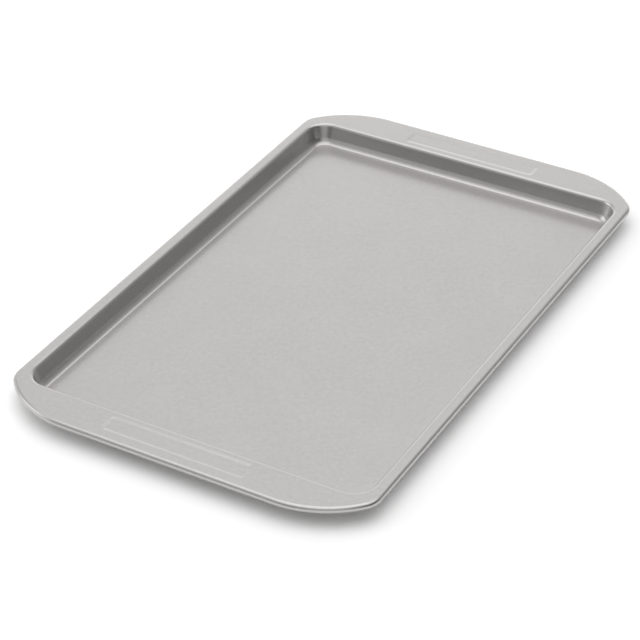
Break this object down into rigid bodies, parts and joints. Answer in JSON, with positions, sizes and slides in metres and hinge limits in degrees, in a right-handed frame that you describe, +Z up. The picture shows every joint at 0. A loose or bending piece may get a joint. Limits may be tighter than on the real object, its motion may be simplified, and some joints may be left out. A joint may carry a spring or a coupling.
{
  "type": "cookie sheet",
  "caption": "Shallow rectangular non-stick baking sheet with sloping walls, rounded corners, a rolled rim and a wide flat grip at each end.",
  "frame": {"origin": "middle of the underside of the floor, on the surface that the sheet stands on", "axes": "+Z up, +Y along the length towards one end grip, +X across the width"},
  "size_m": [0.269, 0.4386, 0.015],
  "materials": {
    "nonstick_steel": "satin grey metallic non-stick coating on steel",
    "wire_steel": "bright drawn wire"
  },
  "bodies": {
    "root": {"pressed_pan": "nonstick_steel", "rim_wire": "wire_steel"}
  },
  "joints": []
}
